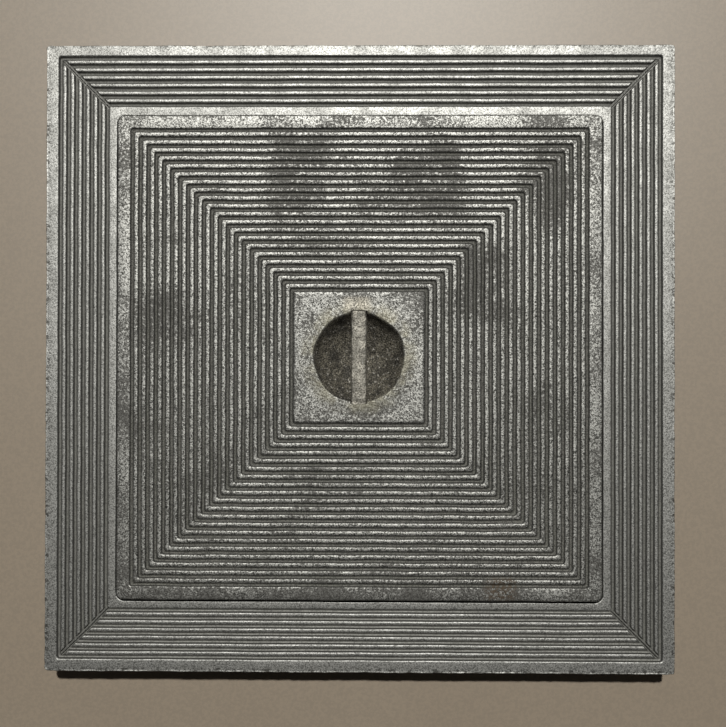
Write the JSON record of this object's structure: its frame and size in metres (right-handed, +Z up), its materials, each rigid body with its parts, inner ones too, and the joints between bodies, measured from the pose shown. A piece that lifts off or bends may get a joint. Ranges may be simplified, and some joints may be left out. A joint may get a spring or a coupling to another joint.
{
  "type": "floor drain cover",
  "caption": "Square cast aluminium floor drain cover: ribbed frame with an anchored skirt, and a ribbed lift-out lid with a round finger cup and a grip bar.",
  "frame": {"origin": "centre of the frame's base, at the bottom of the skirt", "axes": "+Z up out of the floor, Y along the grip bar, X across it"},
  "size_m": [0.3, 0.3, 0.0235],
  "materials": {
    "cast_frame": "as-cast aluminium, worn bright on the ribs, grey oxide in the grooves",
    "cast_lid": "as-cast aluminium, blotched with grey tarnish",
    "cast_bar": "as-cast aluminium, dull and pitted",
    "seal_rubber": "matt black rubber"
  },
  "bodies": {
    "frame_body": {"frame": "cast_frame", "seal_strip": "seal_rubber"},
    "lid_body": {"lid": "cast_lid", "grip_bar": "cast_bar"}
  },
  "joints": [
    {"name": "lid_lift", "type": "slide", "parent": "frame_body", "child": "lid_body", "axis": [0, 0, 1], "range_m": [0, 0.06]}
  ]
}
